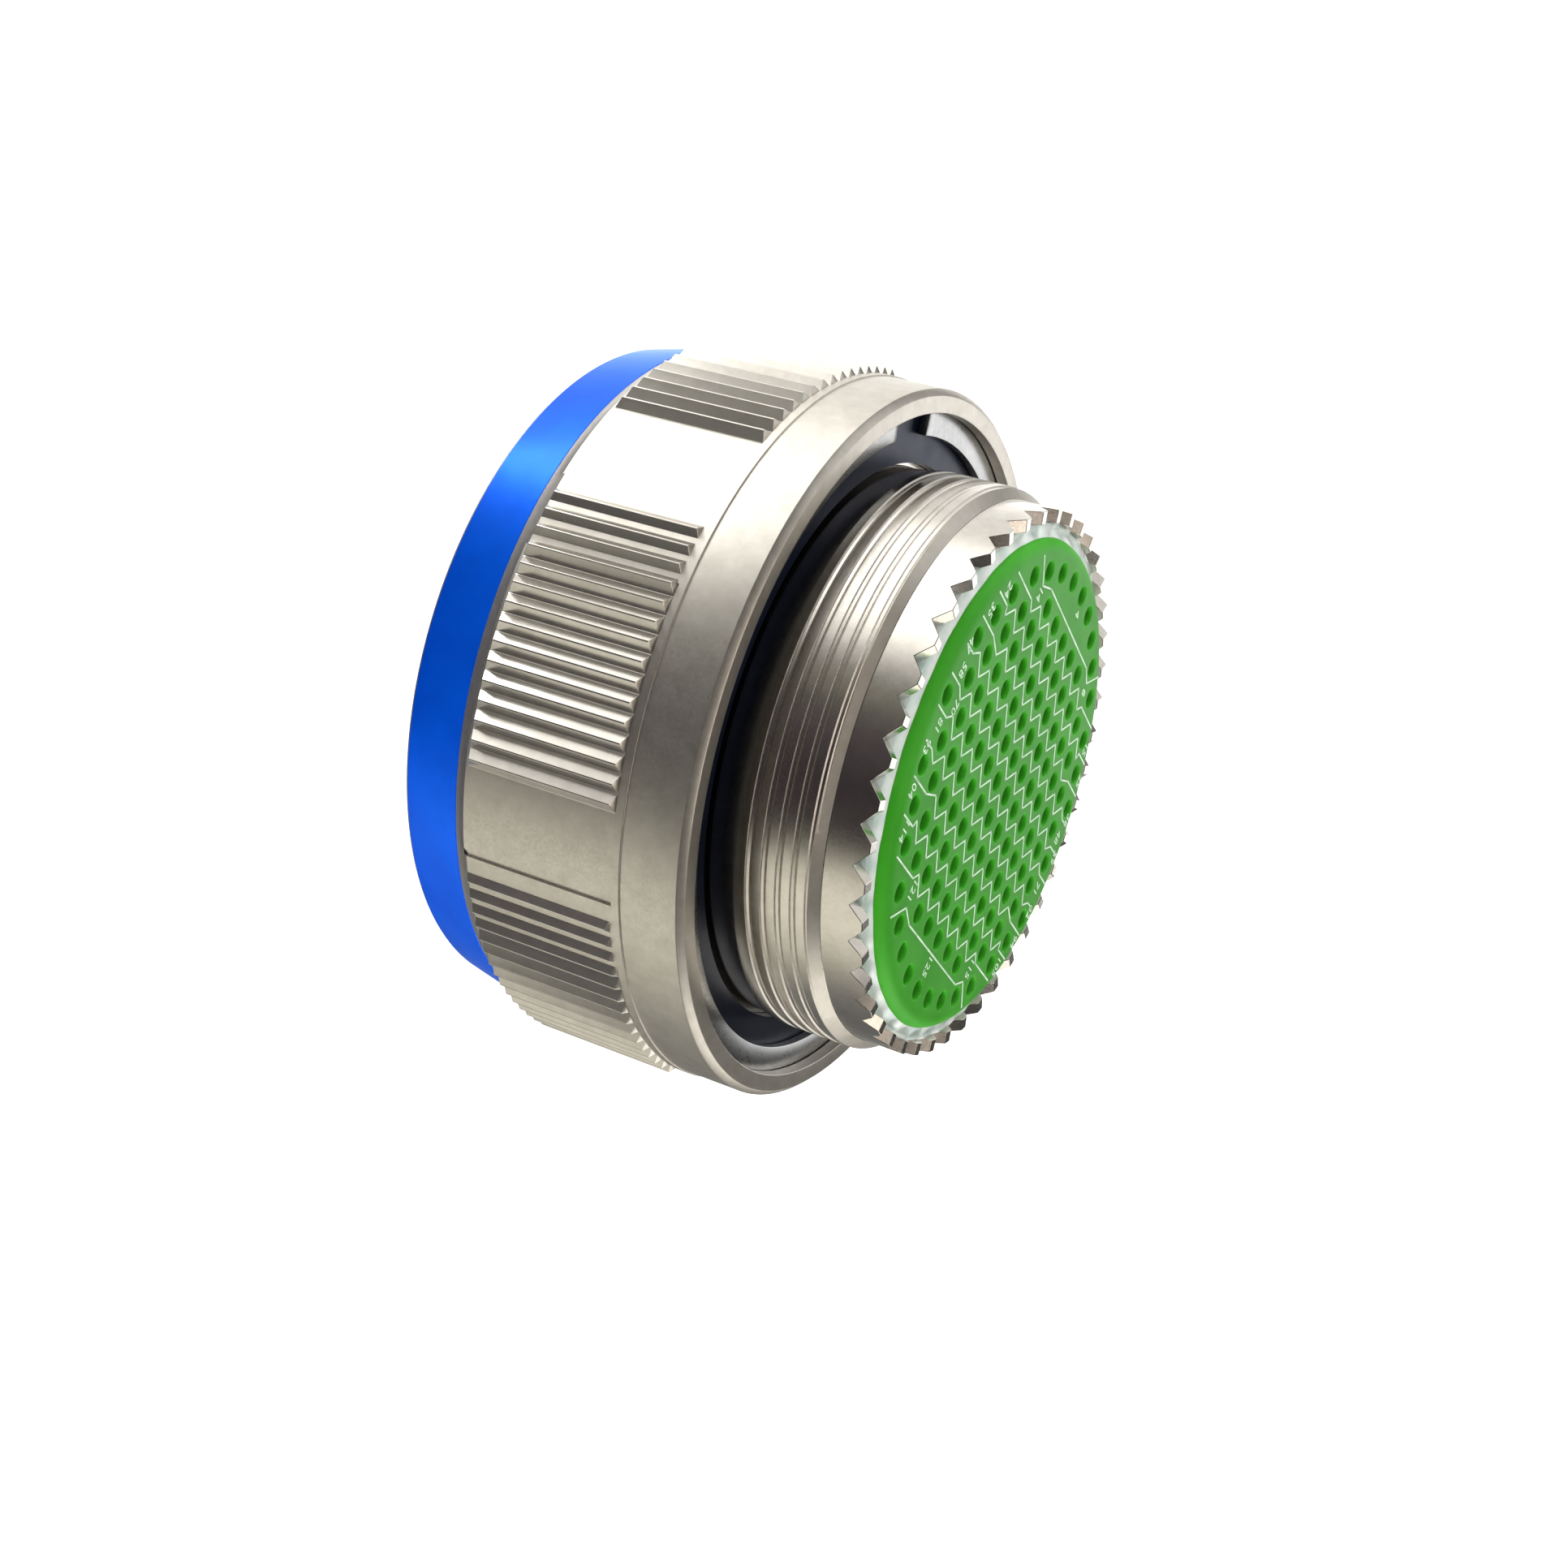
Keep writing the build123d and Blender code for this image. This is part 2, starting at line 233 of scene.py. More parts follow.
# The camera looks at the plug's rear end from one side and a little above.
bpy.ops.object.camera_add(
    location=(-132.755 * mm, -41.872 * mm, 79.159 * mm),
    rotation=(radians(-32.8697), radians(-60.2427), radians(52.6053)),
)
camera = bpy.context.object
camera.data.sensor_width = 36
camera.data.lens = 53.486
camera.data.clip_start = 0.001
bpy.context.scene.camera = camera

# Coupling ring. Machined from aluminium, bead-blasted and plated with electroless nickel.
# Outside: painted nose, bevel, six groups of straight ridges with smooth pads between, plain rear
# collar. Inside: triple-start thread, bore, seat and counterbore with a groove for the retaining ring.
ring_bore = 19.75
nose_front = 22.0
nose_rear = 22.9
nose_length = 4.5
bevel_rear_z = 5.6
pad_radius = 23.6
valley_radius = 23.43
collar_radius = 23.5
collar_front_z = 16.5
ring_rear_z = 20.7
rim_chamfer = 0.4
counterbore = 22.0
seat_z = 15.3
groove_radius = 22.6
groove_front_z = 19.2
groove_rear_z = 19.9
weld_distance = 0.0004


def pick(piece):
    """Selects one piece alone and makes it the active one."""
    bpy.ops.object.select_all(action="DESELECT")
    piece.select_set(True)
    bpy.context.view_layer.objects.active = piece


def edit(piece):
    """Opens one piece in edit mode with nothing selected, and returns its editable mesh."""
    pick(piece)
    bpy.ops.object.mode_set(mode="EDIT")
    bpy.ops.mesh.select_all(action="DESELECT")
    return bmesh.from_edit_mesh(piece.data)


def close_edit(piece):
    bmesh.update_edit_mesh(piece.data)
    bpy.ops.object.mode_set(mode="OBJECT")


def drawn(name, start, moves, closed):
    """Draws an outline from its start by one move after another. It stays open in edit mode."""
    bpy.ops.object.select_all(action="DESELECT")
    bpy.ops.mesh.primitive_plane_add(size=mm, location=start)
    piece = bpy.context.object
    piece.name = name
    piece.data.name = name
    bpy.ops.object.transform_apply(location=True, rotation=True, scale=True)
    bpy.ops.object.mode_set(mode="EDIT")
    bpy.ops.mesh.select_mode(type="VERT")
    bpy.ops.mesh.select_all(action="SELECT")
    bpy.ops.mesh.merge(type="CENTER")
    for move in moves:
        bpy.ops.mesh.extrude_region_move(TRANSFORM_OT_translate={"value": move})
    if closed:
        shape = bmesh.from_edit_mesh(piece.data)
        bpy.ops.mesh.select_all(action="DESELECT")
        for vert in [vert for vert in shape.verts if len(vert.link_edges) == 1]:
            vert.select_set(True)
        shape.select_flush_mode()
        bpy.ops.mesh.edge_face_add()
    bpy.ops.mesh.select_all(action="SELECT")
    return piece


def turned(name, outline, steps, closed=True, first_angle=0.0, sweep=360.0):
    """Turns an outline of (radius, height) points, in mm, round the plug's axis, as on a lathe."""
    across = Vector((cos(radians(first_angle)), sin(radians(first_angle)), 0))
    radius, height = outline[0]
    start = (across * radius + Vector((0, 0, height))) * mm
    moves = []
    for next_radius, next_height in outline[1:]:
        moves.append((across * (next_radius - radius) + Vector((0, 0, next_height - height))) * mm)
        radius, height = next_radius, next_height
    piece = drawn(name, start, moves, closed)
    if sweep < 360.0:
        bpy.ops.mesh.edge_face_add()
        bpy.ops.mesh.select_all(action="SELECT")
    bpy.ops.mesh.spin(steps=steps, angle=radians(sweep), center=(0, 0, 0), axis=(0, 0, 1))
    bpy.ops.mesh.select_all(action="SELECT")
    bpy.ops.mesh.remove_doubles(threshold=weld_distance * mm)
    bpy.ops.mesh.normals_make_consistent(inside=False)
    bpy.ops.object.mode_set(mode="OBJECT")
    return piece


def finish_with(piece, kind, **settings):
    """Adds a modifier to a piece and applies it."""
    pick(piece)
    bpy.ops.object.modifier_add(type=kind)
    modifier = piece.modifiers[-1]
    for setting, value in settings.items():
        setattr(modifier, setting, value)
    bpy.ops.object.modifier_apply(modifier=modifier.name)


def ease_edges(piece, width, segments=2, angle=25):
    """Rounds off the edges of a piece that are sharper than an angle, in degrees and mm."""
    finish_with(
        piece, "BEVEL", width=width * mm, segments=segments, limit_method="ANGLE",
        angle_limit=radians(angle), use_clamp_overlap=True,
    )


def cut(piece, cutter):
    """Takes the cutter's shape out of a piece and removes the cutter."""
    finish_with(piece, "BOOLEAN", operation="DIFFERENCE", solver="EXACT", object=cutter)
    bpy.data.objects.remove(cutter)


def smooth_by_angle(piece, angle):
    pick(piece)
    bpy.ops.object.shade_smooth_by_angle(angle=radians(angle))


def copied(piece, turn, name):
    """A copy of a piece, with its own mesh, turned round the plug's axis by some degrees."""
    twin = piece.copy()
    twin.data = piece.data.copy()
    twin.name = name
    bpy.context.scene.collection.objects.link(twin)
    twin.data.transform(Matrix.Rotation(radians(turn), 4, "Z"))
    return twin


def joined(pieces, name):
    """Joins pieces into the first of them."""
    bpy.ops.object.select_all(action="DESELECT")
    for piece in pieces:
        piece.select_set(True)
    bpy.context.view_layer.objects.active = pieces[0]
    bpy.ops.object.join()
    pieces[0].name = name
    pieces[0].data.name = name
    return pieces[0]


def helical_cutter(name, profile, lead, turns, steps, first_angle=0.0):
    """A thread cutter: a closed profile of (radius, height) points swept along a helix, with closed ends."""
    radius, height = profile[0]
    start = (radius * mm, 0, height * mm)
    moves = []
    for next_radius, next_height in profile[1:]:
        moves.append(Vector((next_radius - radius, 0, next_height - height)) * mm)
        radius, height = next_radius, next_height
    cutter = drawn(name, start, moves, closed=True)
    bpy.ops.object.mode_set(mode="OBJECT")
    finish_with(
        cutter, "SCREW", axis="Z", angle=2 * pi, screw_offset=lead * mm, iterations=turns,
        steps=steps, render_steps=steps, use_merge_vertices=False,
    )
    edit(cutter)
    bpy.ops.mesh.select_all(action="SELECT")
    bpy.ops.mesh.fill_holes(sides=0)
    bpy.ops.mesh.normals_make_consistent(inside=False)
    bpy.ops.object.mode_set(mode="OBJECT")
    cutter.data.transform(Matrix.Rotation(radians(first_angle), 4, "Z"))
    return cutter


coupling_ring = turned(
    "coupling_ring_body",
    [
        (ring_bore, 0.45), (ring_bore + 0.4, 0), (nose_front, 0), (nose_rear, nose_length),
        (pad_radius, bevel_rear_z), (pad_radius, collar_front_z), (collar_radius, collar_front_z),
        (collar_radius, ring_rear_z - rim_chamfer), (collar_radius - rim_chamfer, ring_rear_z),
        (counterbore, ring_rear_z), (counterbore, groove_rear_z), (groove_radius, groove_rear_z),
        (groove_radius, groove_front_z), (counterbore, groove_front_z), (counterbore, seat_z),
        (ring_bore, seat_z),
    ],
    steps=360,
)
ease_edges(coupling_ring, 0.045)

# Between the pads the surface lies a little lower, at the floors of the grip's valleys
grip_groups = 6
group_spacing = 60.0
first_pad_angle = 45.0
pad_half_angle = 6.0
ridge_rear_z = 15.85
recess = turned(
    "grip_recess",
    [(valley_radius, 5.0), (25.5, 5.0), (25.5, ridge_rear_z + 1.2), (valley_radius, ridge_rear_z)],
    steps=48,
    first_angle=first_pad_angle + pad_half_angle,
    sweep=group_spacing - 2 * pad_half_angle,
)
recesses = [recess]
for group in range(1, grip_groups):
    recesses.append(copied(recess, group * group_spacing, "grip_recess_%d" % group))
cut(coupling_ring, joined(recesses, "grip_recesses"))

# The mating thread: three starts, cut in from the front
mating_starts = 3
mating_lead = 7.62
mating_root = 20.6
for start in range(mating_starts):
    cut(coupling_ring, helical_cutter(
        "mating_thread_cutter",
        [(ring_bore - 0.3, -0.78), (ring_bore - 0.3, 0.78), (mating_root, 0.4), (mating_root, -0.4)],
        lead=mating_lead,
        turns=2,
        steps=96,
        first_angle=start * 120.0 + 20.0,
    ))
edit(coupling_ring)
bpy.ops.mesh.select_all(action="SELECT")
bpy.ops.mesh.remove_doubles(threshold=weld_distance * mm)
bpy.ops.object.mode_set(mode="OBJECT")
smooth_by_angle(coupling_ring, 22)


def noise(material, scale, detail, softness=0.5):
    """A cloudy pattern, fixed to the piece."""
    place = add_node(material, "ShaderNodeTexCoord")
    clouds = add_node(
        material, "ShaderNodeTexNoise", {"Scale": scale, "Detail": detail, "Roughness": softness},
    )
    wire(material, place, "Object", clouds, "Vector")
    return clouds


def tinted(material, clouds, deep, light, ends=(0.3, 0.7)):
    """Lets the colour drift between two shades with a cloudy pattern."""
    tints = add_node(material, "ShaderNodeValToRGB")
    for element, end, shade in zip(tints.color_ramp.elements, ends, (deep, light)):
        element.position = end
        element.color = (*shade, 1)
    wire(material, clouds, "Fac", tints, "Fac")
    wire(material, tints, "Color", material.node_tree.nodes["Principled BSDF"], "Base Color")


def roughened(material, grain, least, most, grain_span=(0.0, 1.0)):
    """Lets the roughness drift between two values with a grain."""
    gloss = add_node(material, "ShaderNodeMapRange", {
        "From Min": grain_span[0], "From Max": grain_span[1], "To Min": least, "To Max": most,
    })
    wire(material, grain, "Fac", gloss, "Value")
    wire(material, gloss, "Result", material.node_tree.nodes["Principled BSDF"], "Roughness")


def embossed(material, grain, depth):
    """Roughens the surface with a grain of that depth, in mm."""
    relief = add_node(material, "ShaderNodeBump", {"Strength": 1.0, "Distance": depth * mm})
    wire(material, grain, "Fac", relief, "Height")
    wire(material, relief, "Normal", material.node_tree.nodes["Principled BSDF"], "Normal")


def metal(name, dull, bright, roughness, patch_scale, grain_scale, grain_depth, metallic=1.0):
    """A metal finish: the colour drifts in soft patches, over a fine blasted or drawn grain."""
    material = new_material(name, {"Metallic": metallic})
    tinted(material, noise(material, patch_scale, 6.0, 0.62), dull, bright, ends=(0.32, 0.68))
    grain = noise(material, grain_scale, 3.0, 0.6)
    roughened(material, grain, *roughness, grain_span=(0.3, 0.7))
    embossed(material, grain, grain_depth)
    return material


satin_nickel = metal(
    "satin_nickel", dull=(0.60, 0.565, 0.50), bright=(0.69, 0.65, 0.585), roughness=(0.36, 0.46),
    patch_scale=900, grain_scale=5200, grain_depth=0.0022, metallic=0.95,
)
coupling_ring.data.materials.append(satin_nickel)
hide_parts("coupling_ring")
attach(coupling_ring, "ring")

# Grip ridges, milled in the coupling ring: narrow crests, straight flanks, valleys with a small
# round at the bottom, and steep ends. One ridge is modelled, the rest are copies.
ridges_per_group = 15
ridge_spacing = 2.88
crest_radius = 24.0
crest_half = 0.05
foot_half = 0.594
foot_depth = 0.12
valley_round = 0.08
valley_bottom = 23.44
flank_angle = 48
front_slope = 0.6
rear_slope = -0.3
ridge_overlap = 0.1
first_ridge_angle = first_pad_angle + group_spacing / 2 - ridge_spacing * (ridges_per_group - 1) / 2
side_points = [(foot_half, valley_radius - foot_depth)]
for step_angle in (0, flank_angle / 2, flank_angle):
    side_points.append((
        foot_half - valley_round * sin(radians(step_angle)),
        valley_bottom + valley_round * (1 - cos(radians(step_angle))),
    ))
side_points.append((crest_half, crest_radius))
ridge_outline = side_points + [(-side, reach) for side, reach in reversed(side_points)]
side, reach = ridge_outline[0]
ridge_start = (reach * mm, side * mm, (bevel_rear_z - ridge_overlap) * mm)
ridge_moves = []
for next_side, next_reach in ridge_outline[1:]:
    ridge_moves.append(Vector((next_reach - reach, next_side - side, 0)) * mm)
    side, reach = next_side, next_reach
ridge = drawn("grip_ridge", ridge_start, ridge_moves, closed=False)
bpy.ops.mesh.edge_face_add()
bpy.ops.mesh.extrude_region_move(
    TRANSFORM_OT_translate={"value": (0, 0, (ridge_rear_z + ridge_overlap - bevel_rear_z) * mm)},
)
shape = bmesh.from_edit_mesh(ridge.data)
for vert in shape.verts:
    rise = max(0.0, vert.co.x - valley_bottom * mm)
    vert.co.z += rise * (rear_slope if vert.co.z > 10 * mm else front_slope)
bpy.ops.mesh.select_all(action="SELECT")
bpy.ops.mesh.normals_make_consistent(inside=False)
close_edit(ridge)
ease_edges(ridge, 0.018, angle=40)
# The ridges' nickel is painted a shade darker than the ring's satin nickel: painted shade for the shadow
# that neighbouring ridges and pads cast on the flanks.
ridge_nickel_painted_shade = metal(
    "ridge_nickel_painted_shade", dull=(0.54, 0.51, 0.455), bright=(0.61, 0.575, 0.52), roughness=(0.21, 0.27),
    patch_scale=900, grain_scale=6500, grain_depth=0.0004, metallic=0.88,
)
ridge.data.materials.append(ridge_nickel_painted_shade)
ridges = []
for group in range(grip_groups):
    for place in range(ridges_per_group):
        turn = first_ridge_angle + group * group_spacing + place * ridge_spacing
        ridges.append(copied(ridge, turn, "grip_ridge_%d_%d" % (group, place)))
bpy.data.objects.remove(ridge)
grip_ridges = joined(ridges, "grip_ridges")
smooth_by_angle(grip_ridges, 30)
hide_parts("coupling_ring")
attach(grip_ridges, "ring")

# Blue band: a coat of glossy enamel on the nose of the coupling ring, as thick as the paint is.
# It stops just short of the nose's edges.
paint_gap = 0.02
paint_thickness = 0.035
paint_front_z = 0.12
paint_rear_z = 4.38
nose_slope = (nose_rear - nose_front) / nose_length
band_outline = [(nose_front + nose_slope * paint_front_z - paint_gap, paint_front_z)]
for height in (0.14, 1.5, 3.0, 4.34):
    band_outline.append((nose_front + nose_slope * height + paint_thickness, height))
band_outline.append((nose_front + nose_slope * paint_rear_z - paint_gap, paint_rear_z))
blue_band = turned("blue_band", band_outline, steps=240)
smooth_by_angle(blue_band, 40)
blue_enamel = new_material("blue_enamel", {
    "Roughness": 0.26, "Specular IOR Level": 0.3, "Metallic": 0.35, "Specular Tint": (0.14, 0.85, 1.0, 1),
})
blue_clouds = noise(blue_enamel, 320.0, 4.0)
tinted(blue_enamel, blue_clouds, (0.0, 0.094, 0.78), (0.0, 0.112, 0.88), ends=(0.35, 0.65))
embossed(blue_enamel, blue_clouds, 0.02)
blue_band.data.materials.append(blue_enamel)
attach(blue_band, "ring")

# Retaining ring: a flat open ring stamped from spring steel, snapped into the groove of the
# counterbore. One of its ends has its outer corner cut away for a pry tool.
retainer_outer = 22.55
retainer_inner = 20.4
retainer_front_z = 19.25
retainer_rear_z = 19.85
retainer_gap_centre = 114.0
retainer_gap = 12.0
pry_depth = 1.35
pry_width = 2.6
pry_clearance = 0.4
retaining_ring = turned(
    "retaining_ring_body",
    [
        (retainer_inner, retainer_front_z), (retainer_outer, retainer_front_z),
        (retainer_outer, retainer_rear_z), (retainer_inner, retainer_rear_z),
    ],
    steps=240,
    first_angle=retainer_gap_centre + retainer_gap / 2,
    sweep=360.0 - retainer_gap,
)
notch_angle = radians(retainer_gap_centre)
notch_side = counterbore * sin(radians(retainer_gap / 2))
notch_corners = [
    (retainer_outer - pry_depth, notch_side), (retainer_outer + pry_clearance, notch_side),
    (retainer_outer + pry_clearance, notch_side + pry_width),
]
bpy.ops.object.select_all(action="DESELECT")
bpy.ops.mesh.primitive_cylinder_add(
    vertices=3, radius=mm, depth=4 * mm, location=(0, 0, retainer_rear_z * mm),
)
notch_cutter = bpy.context.object
bpy.ops.object.transform_apply(location=True, rotation=True, scale=True)
shape = edit(notch_cutter)
for level in (-1, 1):
    level_verts = sorted(
        [vert for vert in shape.verts if (vert.co.z - retainer_rear_z * mm) * level > 0],
        key=lambda vert: atan2(vert.co.y, vert.co.x),
    )
    for vert, (reach, side) in zip(level_verts, notch_corners):
        vert.co.x = (reach * cos(notch_angle) - side * sin(notch_angle)) * mm
        vert.co.y = (reach * sin(notch_angle) + side * cos(notch_angle)) * mm
bpy.ops.mesh.select_all(action="SELECT")
bpy.ops.mesh.normals_make_consistent(inside=False)
close_edit(notch_cutter)
cut(retaining_ring, notch_cutter)
ease_edges(retaining_ring, 0.05)
smooth_by_angle(retaining_ring, 30)
stamped_steel = metal(
    "stamped_steel", dull=(0.40, 0.405, 0.40), bright=(0.50, 0.505, 0.50), roughness=(0.26, 0.34),
    patch_scale=420, grain_scale=3600, grain_depth=0.0008,
)
retaining_ring.data.materials.append(stamped_steel)
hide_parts("retaining_ring")
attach(retaining_ring, "ring")


def carried(node, material):
    """A node of the CAD model keeps its shape and gets its finish here."""
    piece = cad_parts[node]
    piece.data.materials.clear()
    piece.data.materials.append(material)


# Thrust washer and detent springs. The washer has a smooth blue-black coat. The three leaf
# springs sit behind it against the counterbore, and their bumps click into the flange's ratchet.
dark_coat = new_material("dark_coat", {"Metallic": 0.6})
dark_clouds = noise(dark_coat, 500.0, 5.0)
tinted(dark_coat, dark_clouds, (0.005, 0.009, 0.026), (0.010, 0.017, 0.044))
roughened(dark_coat, dark_clouds, 0.3, 0.5)
carried("thrust_washer", dark_coat)
for spring in (1, 2, 3):
    carried("detent_spring_%d" % spring, stamped_steel)

# Plug shell. Machined from aluminium and plated like the ring: keyed barrel, ratchet flange,
# accessory thread and neck, with V serrations round its rear edge for a backshell's teeth.
bore_radius = 16.95
barrel_radius = 18.3
barrel_front_z = 0.5
flange_radius = 20.9
flange_front_z = 15.4
flange_rear_z = 18.3
land_radius = 18.2
thread_radius = 18.5
neck_radius = 17.8
thread_front_z = 21.15
thread_rear_z = 25.95
neck_front_z = 26.65
serration_front_z = 28.4
shell_rear_z = 29.4
rear_teeth = 44
steps_per_tooth = 8
rear_notch_angle = -1.55
notch_drops = {0: 0.9, 1: 0.6, 2: 0.3}
plug_shell = turned(
    "plug_shell_body",
    [
        (bore_radius, barrel_front_z + 0.25), (bore_radius + 0.25, barrel_front_z),
        (barrel_radius - 0.3, barrel_front_z), (barrel_radius, barrel_front_z + 0.3),
        (barrel_radius, flange_front_z), (flange_radius, flange_front_z), (flange_radius, flange_rear_z),
        (land_radius, flange_rear_z), (land_radius, thread_front_z), (thread_radius, thread_front_z),
        (thread_radius, thread_rear_z), (neck_radius, neck_front_z), (neck_radius, serration_front_z),
        (neck_radius, shell_rear_z), (bore_radius, shell_rear_z), (bore_radius, serration_front_z),
    ],
    steps=rear_teeth * steps_per_tooth,
    first_angle=rear_notch_angle,
)
shape = edit(plug_shell)
for vert in shape.verts:
    if vert.co.z > (shell_rear_z - 0.1) * mm:
        turn = (degrees(atan2(vert.co.y, vert.co.x)) - rear_notch_angle) % 360.0
        place = round(turn / 360.0 * rear_teeth * steps_per_tooth) % steps_per_tooth
        place = min(place, steps_per_tooth - place)
        vert.co.z -= notch_drops.get(place, 0) * mm
close_edit(plug_shell)
ease_edges(plug_shell, 0.035)

# Ratchet: V notches round the flange
ratchet_teeth = 48
ratchet_spacing = 7.5
ratchet_middle_z = 16.85
ratchet_cutter_radius = 1.2
bpy.ops.object.select_all(action="DESELECT")
bpy.ops.mesh.primitive_cylinder_add(
    vertices=3, radius=ratchet_cutter_radius * mm, depth=4 * mm,
    location=((flange_radius + 0.7) * mm, 0, ratchet_middle_z * mm), rotation=(0, 0, radians(90)),
)
ratchet_cutter = bpy.context.object
bpy.ops.object.transform_apply(location=True, rotation=True, scale=True)
ratchet_cutters = []
for place in range(ratchet_teeth):
    ratchet_cutters.append(copied(ratchet_cutter, place * ratchet_spacing, "ratchet_%d" % place))
bpy.data.objects.remove(ratchet_cutter)
cut(plug_shell, joined(ratchet_cutters, "ratchet_cutters"))

# Accessory thread, 1 mm pitch
thread_pitch = 1.0
cut(plug_shell, helical_cutter(
    "accessory_thread_cutter",
    [
        (18.27, thread_front_z + 0.49), (18.27, thread_front_z + 0.51), (18.46, thread_front_z + 0.60),
        (18.52, thread_front_z + 0.66), (18.9, thread_front_z + 0.70), (18.9, thread_front_z + 0.12),
        (18.52, thread_front_z + 0.165), (18.40, thread_front_z + 0.25), (18.37, thread_front_z + 0.42),
    ],
    lead=thread_pitch,
    turns=6,
    steps=240,
    first_angle=20.0,
))
smooth_by_angle(plug_shell, 12)
shell_nickel = metal(
    "shell_nickel", dull=(0.62, 0.58, 0.52), bright=(0.70, 0.66, 0.60), roughness=(0.17, 0.25),
    patch_scale=900, grain_scale=6500, grain_depth=0.0009,
)
# Rougher nickel for the thread's rubbed flanks; its colour is painted far lighter than the shell's plating,
# a painted highlight.
worn_nickel_painted_highlight = metal(
    "worn_nickel_painted_highlight", dull=(0.80, 0.76, 0.70), bright=(0.90, 0.86, 0.80), roughness=(0.42, 0.55),
    patch_scale=900, grain_scale=6500, grain_depth=0.001,
)
plug_shell.data.materials.append(shell_nickel)
plug_shell.data.materials.append(worn_nickel_painted_highlight)
plug_shell.data.materials.append(satin_nickel)

# The thread's rear flanks, which face the rear, get a rougher nickel, as where plating is rubbed, whose
# colour is painted much lighter than the shell's as a painted highlight. The slope behind the thread stays
# satin
worn_highlight_face = 1
satin_face = 2
for face in plug_shell.data.polygons:
    reach = hypot(face.center.x, face.center.y) / mm
    if 0.35 < face.normal.z < 0.95 and reach > 17.85:
        if thread_front_z < face.center.z / mm < thread_rear_z - 0.05:
            face.material_index = worn_highlight_face
        elif thread_rear_z - 0.05 <= face.center.z / mm < neck_front_z:
            face.material_index = satin_face
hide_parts("plug_shell")
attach(plug_shell, "shell")

# Polarising keys along the barrel, machined from the shell: one wide main key and four narrow
# ones. Their feet stand a little inside the barrel's wall.
key_height = 1.1
key_length = 8.5
key_middle_z = 4.75
keys = []
for key_angle, key_width in ((90.0, 3.2), (170.0, 1.6), (232.0, 1.6), (286.0, 1.6), (23.0, 1.6)):
    bpy.ops.object.select_all(action="DESELECT")
    bpy.ops.mesh.primitive_cube_add(
        size=1, location=((barrel_radius + 0.45) * mm, 0, key_middle_z * mm),
        scale=(key_height * mm, key_width * mm, key_length * mm),
    )
    key = bpy.context.object
    bpy.ops.object.transform_apply(location=True, rotation=True, scale=True)
    ease_edges(key, 0.12, segments=3)
    key.data.transform(Matrix.Rotation(radians(key_angle), 4, "Z"))
    keys.append(key)
shell_keys = joined(keys, "shell_keys")
smooth_by_angle(shell_keys, 30)
shell_keys.data.materials.append(shell_nickel)
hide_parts("plug_shell")
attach(shell_keys, "shell")

# Peripheral seal: a ring of silicone rubber against the front of the flange.
# Grounding spring in front of it: fingers of plated copper alloy.
seal_rubber = new_material("seal_rubber_red", {"Roughness": 0.6})
tinted(
    seal_rubber, noise(seal_rubber, 600.0, 4.0), (0.24, 0.045, 0.022), (0.36, 0.075, 0.036), ends=(0, 1),
)
carried("shell_seal", seal_rubber)
plated_copper = metal(
    "plated_copper", dull=(0.62, 0.52, 0.36), bright=(0.72, 0.62, 0.45), roughness=(0.2, 0.3),
    patch_scale=400, grain_scale=4000, grain_depth=0.003,
)
carried("grounding_spring", plated_copper)

# Inserts: hard moulded plastic. The front one carries the mating face with its cavities, which
# stand in rows, with an arc of nine at the top and at the bottom.
cavity_pitch = 2.4456
row_rise = 2.118
arc_radius = 14.03
half_rows = (12, 11, 12, 11, 10, 5)
first_cavity_shift = 0.8
cavities = []
for row in range(-5, 6):
    row_count = half_rows[abs(row)]
    for place in range(row_count):
        along = (place - (row_count - 1) / 2) * cavity_pitch
        if row == 0 and place == 0:
            along -= first_cavity_shift
        cavities.append((along, row * row_rise))
for side in (1, -1):
    for arc_angle in range(-40, 41, 10):
        turn = radians(arc_angle)
        cavities.append((arc_radius * sin(turn), side * arc_radius * cos(turn)))


def drilled(piece, tool, places):
    """Sinks copies of one cutting tool in a piece, at each of those places."""
    tools = []
    for x, y in places:
        twin = copied(tool, 0, "cavity_tool")
        twin.data.transform(Matrix.Translation((x * mm, y * mm, 0)))
        tools.append(twin)
    bpy.data.objects.remove(tool)
    cut(piece, joined(tools, "cavity_tools"))


front_insert = turned(
    "front_insert_body",
    [(0, 0.4), (16.6, 0.4), (16.9, 0.7), (16.9, 10.2), (0, 10.2)],
    steps=160,
    closed=False,
)
contact_drill = turned(
    "contact_drill",
    [(0, -0.6), (0.62, -0.6), (0.62, 0.35), (0.46, 0.6), (0.46, 6.0), (0, 6.0)],
    steps=16,
    closed=False,
)
drilled(front_insert, contact_drill, cavities)
smooth_by_angle(front_insert, 30)
dark_green_plastic = new_material("dark_green_plastic", {"Specular IOR Level": 0.45})
plastic_clouds = noise(dark_green_plastic, 350.0, 5.0)
tinted(dark_green_plastic, plastic_clouds, (0.018, 0.06, 0.03), (0.028, 0.085, 0.045))
plastic_grain = noise(dark_green_plastic, 3500.0, 2.0)
roughened(dark_green_plastic, plastic_grain, 0.36, 0.48)
embossed(dark_green_plastic, plastic_grain, 0.003)
front_insert.data.materials.append(dark_green_plastic)
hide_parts("front_insert")
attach(front_insert, "shell")
carried("rear_insert", dark_green_plastic)

